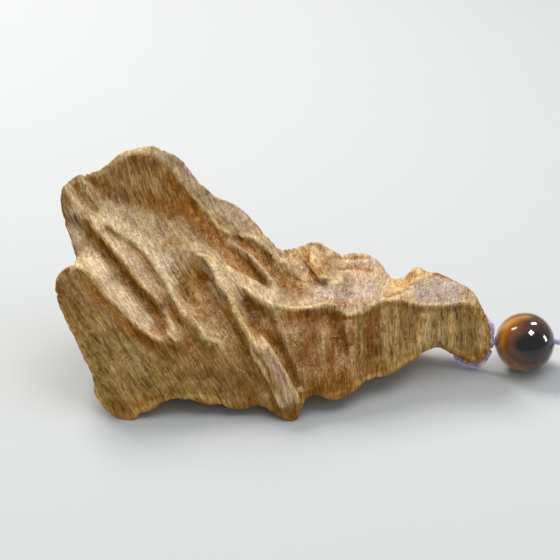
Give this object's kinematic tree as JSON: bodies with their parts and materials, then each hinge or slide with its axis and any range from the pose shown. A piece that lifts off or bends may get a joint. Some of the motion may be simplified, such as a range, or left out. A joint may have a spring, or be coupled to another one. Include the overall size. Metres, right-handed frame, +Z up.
{
  "type": "agarwood hand piece",
  "caption": "Weathered chunk of agarwood with a high crest, diagonal folds and a fluted narrow end, tied to a glossy tiger's eye bead by a lilac cord that ends in a small coil",
  "frame": {"origin": "the floor under the middle of the wood, its bead and its loop of cord", "axes": "+Z up; the long side along X with the crest at -X and the bead at +X; the folded front faces -Y"},
  "size_m": [0.108, 0.0315, 0.0379],
  "materials": {
    "agarwood": "dry weathered grain, worn smooth on the ridges",
    "tiger_eye": "polished banded stone",
    "lilac_cord": "fine braid"
  },
  "bodies": {
    "root": {"agarwood": "agarwood", "bead": "tiger_eye", "cord_loop": "lilac_cord", "loop_knot": "lilac_cord", "cord_tail": "lilac_cord", "cord_coil": "lilac_cord", "end_knot": "lilac_cord"}
  },
  "joints": []
}
